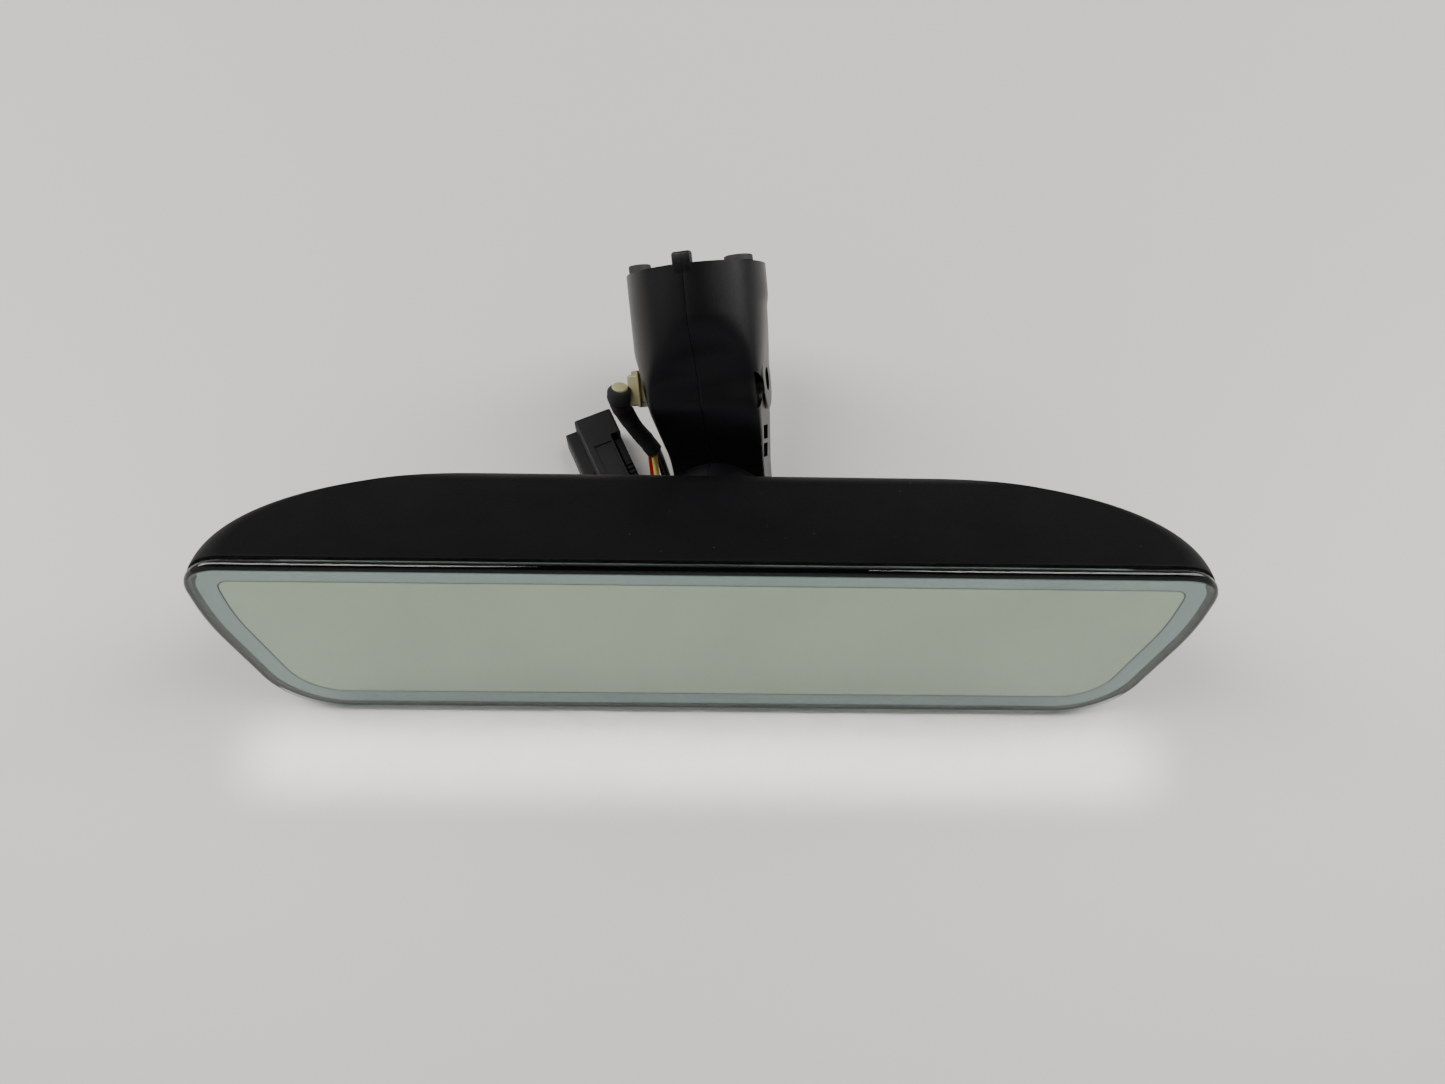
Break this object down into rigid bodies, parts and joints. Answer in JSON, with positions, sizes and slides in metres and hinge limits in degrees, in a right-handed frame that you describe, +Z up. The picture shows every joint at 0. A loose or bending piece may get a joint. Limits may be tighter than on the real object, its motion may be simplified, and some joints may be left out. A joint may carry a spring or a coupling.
{
  "type": "interior rearview mirror",
  "caption": "Frameless auto-dimming interior mirror head on a ball joint, with a moulded arm, round screen foot and short wire loom.",
  "frame": {"origin": "middle of the footprint box, at the level of the surface that the mirror head stands on, loom pieces left out", "axes": "+X to the right along the glass, +Y away from the glass towards the foot, +Z up from the surface it stands on"},
  "size_m": [0.2504, 0.1224, 0.0708],
  "materials": {
    "housing": "fine moulded grain, black",
    "arm": "fine satin black",
    "inner": "unpainted dark moulding",
    "glass": "polished, green at its edge",
    "ring": "satin blue-grey metal film",
    "mirror": "slightly green mirror",
    "foam": "open foam",
    "board": "solder resist",
    "chip": "moulded epoxy",
    "contact": "sprung contact strip",
    "steel": "zinc plated",
    "cup": "self-lubricating white plastic",
    "clear": "smoked clear plastic",
    "natural": "unpigmented nylon",
    "tape": "woven loom tape",
    "red_wire": "extruded insulation",
    "yellow_wire": "extruded insulation",
    "black_wire": "extruded insulation",
    "plug": "moulded black"
  },
  "bodies": {
    "arm": {"arm_shell_left": "arm", "arm_shell_right": "arm", "ball_stud": "steel", "arm_screw": "steel", "arm_header": "inner", "bayonet_ring": "steel", "bayonet_spring": "steel", "foot_pad_left": "arm", "foot_pad_right": "arm", "natural_plug": "natural", "taped_loom": "tape", "wire_red": "red_wire", "wire_yellow": "yellow_wire", "wire_black_1": "black_wire", "wire_black_2": "black_wire", "loom_plug": "plug", "plug_lock": "plug", "plug_insert": "inner"},
    "inner_cup": {"liner_cup_inner": "cup"},
    "outer_cup": {"liner_cup_outer": "cup"},
    "head": {"rear_housing": "housing", "front_glass": "glass", "perimeter_ring": "ring", "mirror_glass": "mirror", "bus_clip_top": "contact", "bus_clip_bottom": "contact", "foam_pad": "foam", "carrier_plate": "inner", "circuit_board": "board", "control_chip": "chip", "board_header": "natural", "glare_sensor": "clear", "ambient_sensor": "clear", "sensor_window": "clear", "ball_socket": "housing", "socket_screw_1": "steel", "socket_screw_2": "steel", "socket_screw_3": "steel", "socket_screw_4": "steel"}
  },
  "joints": [
    {"name": "head_pan", "type": "hinge", "parent": "arm", "child": "inner_cup", "pos_m": [0.004, -0.00942, 0.01806], "axis": [0, 0, 1], "range_deg": [-12, 12]},
    {"name": "head_tilt", "type": "hinge", "parent": "inner_cup", "child": "outer_cup", "pos_m": [0.004, -0.00942, 0.01806], "axis": [1, 0, 0], "range_deg": [-10, 10]},
    {"name": "head_roll", "type": "hinge", "parent": "outer_cup", "child": "head", "pos_m": [0.004, -0.00942, 0.01806], "axis": [0, 0.9613, -0.2756], "range_deg": [-6, 6]}
  ]
}
